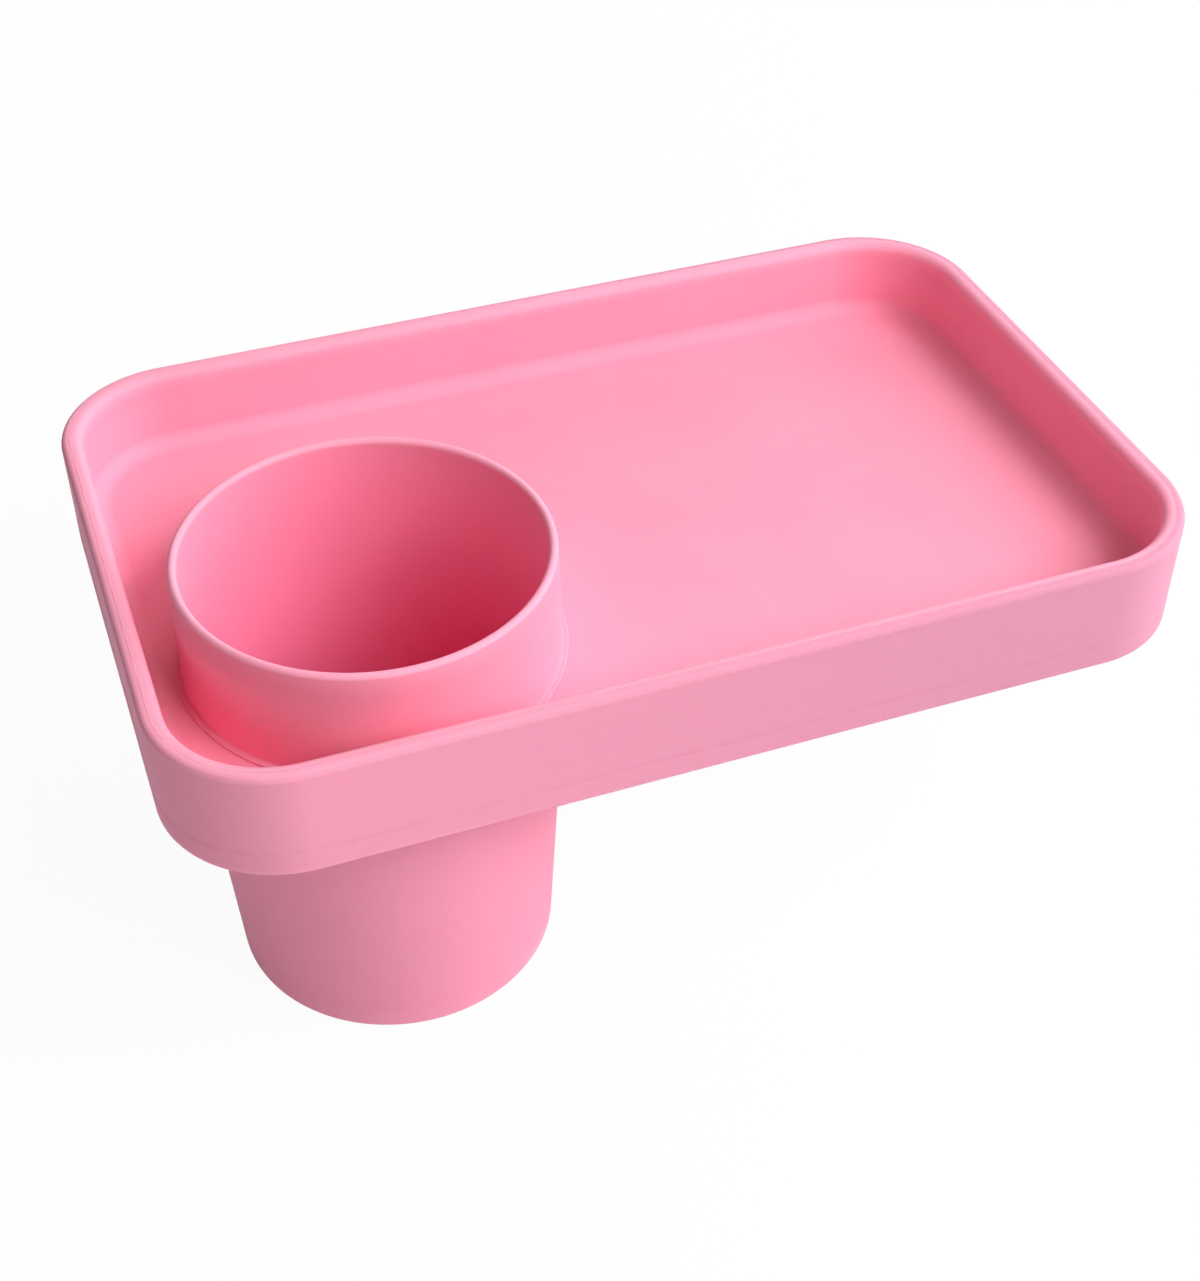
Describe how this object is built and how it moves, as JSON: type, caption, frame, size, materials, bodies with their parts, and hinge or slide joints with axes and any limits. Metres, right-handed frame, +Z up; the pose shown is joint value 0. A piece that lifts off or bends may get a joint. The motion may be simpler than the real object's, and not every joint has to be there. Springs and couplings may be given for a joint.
{
  "type": "car seat tray",
  "caption": "Rounded rectangular snack tray that turns on a tapered cup, which drops into a cup holder and also holds a drink.",
  "frame": {"origin": "centre of the cup's flat base, on the cup's axis, which is also the axis that the pan turns on", "axes": "+Z up along the cup's axis; +X along the pan's length, from the end with the cup to the open end; +Y across the pan, away from the long wall nearest the cup"},
  "size_m": [0.2352, 0.1518, 0.113],
  "materials": {
    "cup": "matt moulded silicone",
    "pan": "matt moulded silicone",
    "ring": "satin moulded polypropylene"
  },
  "bodies": {
    "cup": {"cup_insert": "cup", "retaining_ring": "ring"},
    "pan": {"tray_pan": "pan"}
  },
  "joints": [
    {"name": "pan_swivel", "type": "hinge", "parent": "cup", "child": "pan", "pos_m": [0, 0, 0.0856], "axis": [0, 0, 1], "continuous": true}
  ]
}
